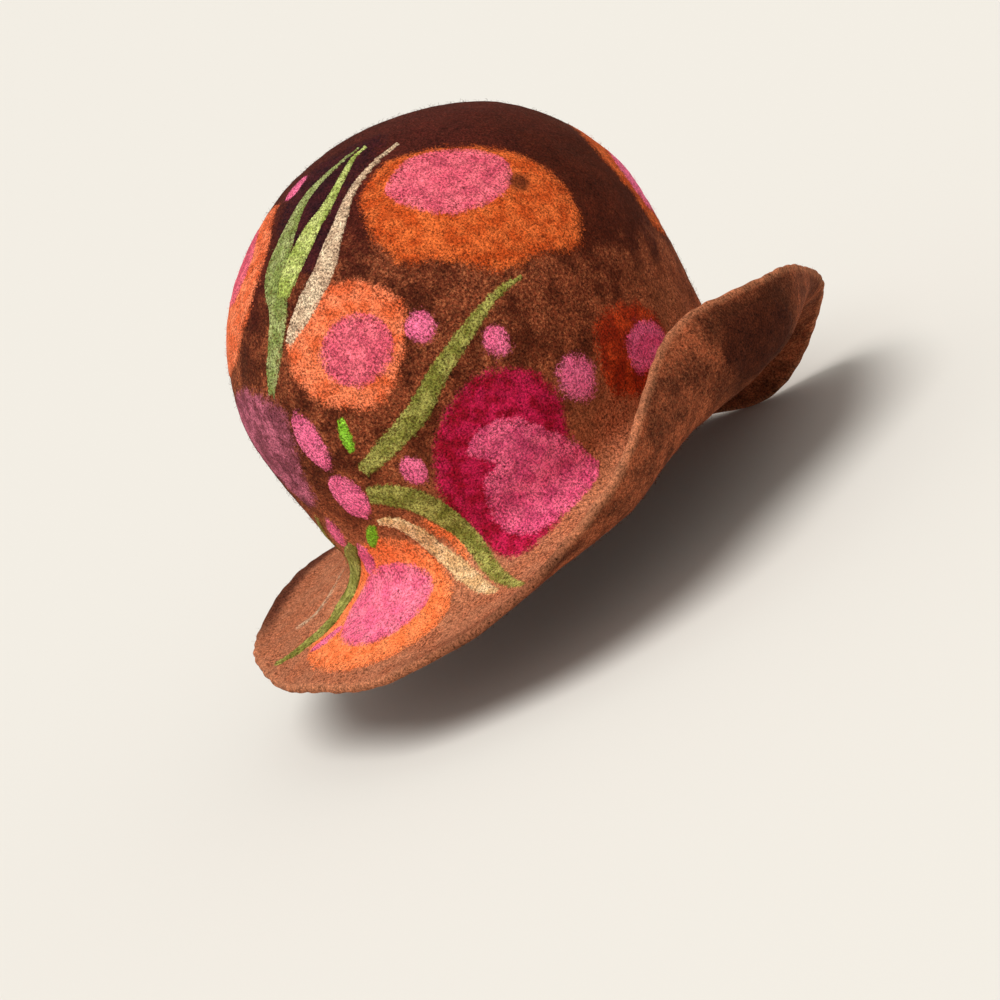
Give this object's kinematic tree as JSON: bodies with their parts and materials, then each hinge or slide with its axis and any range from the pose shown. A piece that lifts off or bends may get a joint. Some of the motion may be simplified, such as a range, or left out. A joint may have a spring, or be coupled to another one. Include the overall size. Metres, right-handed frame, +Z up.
{
  "type": "felt cloche hat",
  "caption": "Wet-felted cloche hat with a swept brim turned up at the front right, inlaid prefelt flowers and leaves, and a ribbon sweatband.",
  "frame": {"origin": "centre of the head opening, where the crown meets the brim", "axes": "+Z up through the crown, front towards -Y, wearer's right towards -X"},
  "size_m": [0.278, 0.3075, 0.2236],
  "materials": {
    "brown_felt": "thick wet-felted wool, mottled from maroon to tan, fuzzy and pebbled",
    "orange_prefelt": "orange wool prefelt, speckled with brown fibres",
    "pink_prefelt": "rose pink wool prefelt, speckled with brown fibres",
    "crimson_prefelt": "deep crimson wool prefelt",
    "magenta_prefelt": "magenta wool prefelt, blended at its edges",
    "green_prefelt": "moss green wool prefelt with brown fibres",
    "bright_green_prefelt": "bright green wool prefelt",
    "cream_prefelt": "cream wool prefelt, thin enough to show the brown below",
    "mauve_prefelt": "streaky mauve wool prefelt",
    "dark_prefelt": "purple-black wool prefelt",
    "ribbon": "dark brown ribbed grosgrain ribbon",
    "thread": "brown sewing thread"
  },
  "bodies": {
    "root": {"felt_body": "brown_felt", "sweatband": "ribbon", "sweatband_stitches": "thread", "crown_flower_petals": "orange_prefelt", "crown_flower_heart": "pink_prefelt", "back_flower_petals": "orange_prefelt", "back_flower_heart": "pink_prefelt", "nape_flower_petals": "orange_prefelt", "nape_flower_heart": "pink_prefelt", "brow_flower_petals": "orange_prefelt", "brow_flower_heart": "magenta_prefelt", "front_flower_petals": "orange_prefelt", "front_flower_heart": "pink_prefelt", "left_flower_petals": "orange_prefelt", "left_flower_heart": "pink_prefelt", "brim_flower_petals": "orange_prefelt", "brim_flower_heart": "pink_prefelt", "tulip_cup": "crimson_prefelt", "tulip_petal": "pink_prefelt", "dark_crown_patch": "dark_prefelt", "dark_brim_patch": "dark_prefelt", "mauve_patch": "mauve_prefelt", "pink_dots": "pink_prefelt", "pink_streaks": "pink_prefelt", "orange_fleck": "orange_prefelt", "long_leaf": "green_prefelt", "left_leaf": "green_prefelt", "grass_blade": "green_prefelt", "lime_blade": "green_prefelt", "cream_blades": "cream_prefelt", "arched_leaf": "green_prefelt", "arched_blade": "cream_prefelt", "brim_blades": "green_prefelt", "green_buds": "bright_green_prefelt"}
  },
  "joints": []
}
